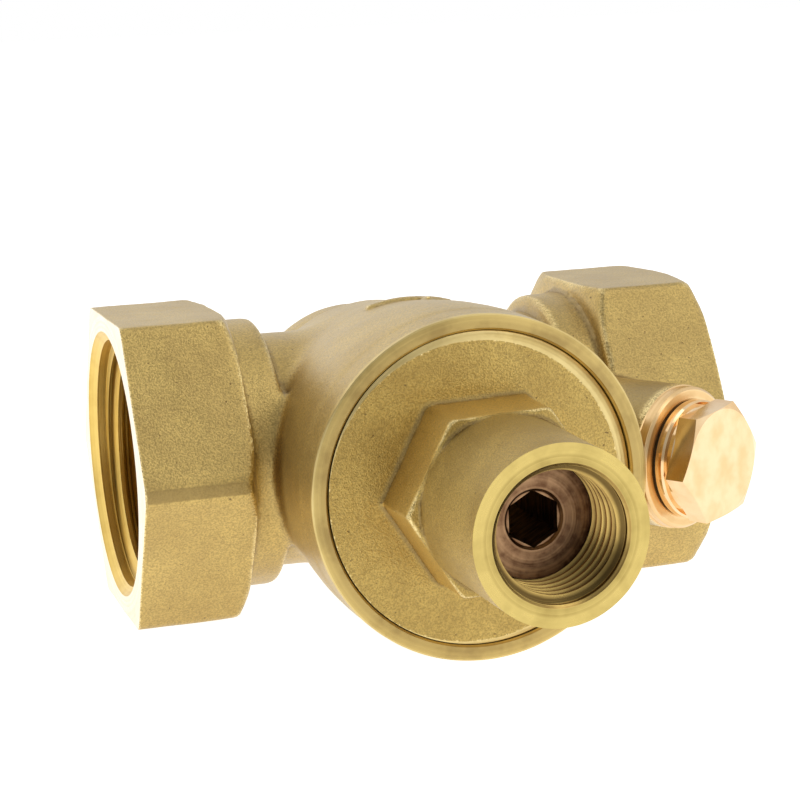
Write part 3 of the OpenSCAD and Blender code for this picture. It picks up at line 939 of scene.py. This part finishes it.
def floor():
    """A lit white table, which shows only a faint shadow."""
    bm = bmesh.new()
    bmesh.ops.create_grid(bm, x_segments=1, y_segments=1, size=6)
    bmesh.ops.translate(bm, vec=(0, 0, cad_box[0][2]), verts=bm.verts)
    mesh = bpy.data.meshes.new("table")
    bm.to_mesh(mesh)
    bm.free()
    table = fresh("table", mesh)
    white = bpy.data.materials.new("white table")
    white.use_nodes = True
    shader = white.node_tree.nodes["Principled BSDF"]
    shader.inputs["Base Color"].default_value = (FLOOR_GREY, FLOOR_GREY, FLOOR_GREY, 1)
    shader.inputs["Roughness"].default_value = 1.0
    shader.inputs["Specular IOR Level"].default_value = 0.0
    shader.inputs["Emission Color"].default_value = (1, 1, 1, 1)
    shader.inputs["Emission Strength"].default_value = FLOOR_GLOW
    mesh.materials.append(white)


ROOM = 0.84                                # brightness of the room all round
ROOM_PATCHES = [                           # (direction, spread, added brightness)
    ((-0.85, -0.45, 0.15), 0.5, -0.30),    # the dark side of the room
    ((-0.1, -0.7, 0.62), 0.42, -0.36),     # above the camera
    ((0.75, -0.65, 0.1), 0.4, 0.25),       # the open side
    ((-0.75, 0.6, 0.35), 0.4, 0.5),        # a window behind on the left
    ((-0.1, 0.55, 0.8), 0.35, -0.12),      # the dark top of the back wall
]


def room():
    """An even white room with a darker side, seen only in the metal; the lens sees plain white."""
    world = bpy.data.worlds.new("studio")
    world.use_nodes = True
    tree = Tree(world.node_tree)
    direction = tree.node("ShaderNodeTexCoord", {}, {}, "Generated")
    glow = 0.0
    for toward, spread, added in ROOM_PATCHES:
        facing = tree.node("ShaderNodeVectorMath", {"operation": "DOT_PRODUCT"}, {
            0: direction, 1: tuple(Vector(toward).normalized())}, 1)
        glow = glow + facing.step(1 - 2 * spread, 1) * added
    glow = (glow + ROOM).larger(0.05)
    lens_ray = tree.node("ShaderNodeLightPath", {}, {}, "Is Camera Ray")
    sky = tree.tree.nodes["Background"]
    sky.inputs["Color"].default_value = (1, 1, 1, 1)
    tree.tree.links.new((glow + lens_ray * (1 - glow)).socket, sky.inputs["Strength"])
    bpy.context.scene.world = world
    bpy.context.scene.view_settings.view_transform = "Standard"


def studio():
    floor()
    room()
    centre = (0.04, -0.02, 0)
    softbox("high light", (0.25, -0.25, 0.6), centre, (0.35, 0.35), 0.5)
    softbox("front light", (0.45, -0.75, 0.25), centre, (0.3, 0.4), 0.4)


# ---- The valve ----

def body_paint(piece):
    def pipe_face(at, normal):
        return at.x < INLET_X + 0.02 or at.x > OUTLET_X - 0.02

    def pipe_end(at, normal):
        r = math.hypot(at.y, at.z)
        near = at.x < INLET_X + 20 or at.x > OUTLET_X - 20
        inward = (at.y - MOUTH_Y) * normal.y + at.z * normal.z < 0
        bore = r < PIPE_THREAD["minor"] + 0.45 or (inward and r < MOUTH_R + 0.8)
        return near and bore and not pipe_face(at, normal)

    def rim(at, normal):
        flat = normal.y < -0.98 and at.y < 0.1 - RIM_U
        inside = math.hypot(at.x - BONNET_X, at.z) < DISC_R + 0.45 and at.y < -10
        return flat or (inside and 15 < at.x < 66)

    def rim_edge(at, normal):
        outer = math.hypot(at.x - BONNET_X, at.z) > RIM_R - 0.5
        return outer and at.y < 0.55 - RIM_U and normal.y > -0.98

    def boss(at, normal):
        out, side = along_gauge(at.x, at.y)
        band = BOSS_U - BOSS_BAND_T - 0.01 < out < BOSS_U + 0.05
        return band and math.hypot(side, at.z) < BOSS_R + 0.05

    return paint(piece, "body_forged", ("pipe_turned", pipe_end), ("face_turned", pipe_face),
                 ("rim_turned", rim), ("rim_edge", rim_edge), ("boss_turned", boss))


def bonnet_paint(piece):
    def turned(at, normal):
        return at.y < 0.05 - NOSE_U or at.y > -33.6

    def edge(at, normal):
        return math.hypot(at.x - BONNET_X, at.z) > DISC_R - 1.8 and normal.y > -0.965

    def bore(at, normal):
        return math.hypot(at.x - BONNET_X, at.z) < NOSE_MOUTH_R and 34 < -at.y < NOSE_U - 0.03

    # The hexagon's sides get the lighter copy of the forged brass, painted light.
    def hexagon_side(at, normal):
        outer = math.hypot(at.x - BONNET_X, at.z) > NOSE_ROOT_R + 0.1
        return outer and 35.3 < -at.y < BONNET_HEX_U - 0.2 and abs(normal.y) < 0.6

    return paint(piece, "bonnet_forged", ("hexagon_painted_lighter", hexagon_side), ("nose_turned", turned),
                 ("rim_edge", edge), ("bore_turned", bore))


camera()
studio()
PIECES = {"valve_body": valve_body, "bonnet": bonnet, "gauge_plug": gauge_plug,
          "adjusting_screw": adjusting_screw}
BODY_OF = {node: body for body, nodes in frame["record"]["behaviour"]["bodies"].items()
           for node in nodes}
SLOT_OF = {part["node"]: part["material_slot"] for part in frame["record"]["subparts"]}
for node, slot in SLOT_OF.items():
    if node in PIECES:
        piece = PIECES[node]()
        piece.name = node + "_detailed"
        if node == "valve_body":
            body_paint(piece)
        elif node == "bonnet":
            bonnet_paint(piece)
        else:
            paint(piece, slot)
        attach(piece, BODY_OF[node])
        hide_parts(node)
    else:
        for holder in bpy.data.objects[node].material_slots:
            holder.material = FINISHES[slot]
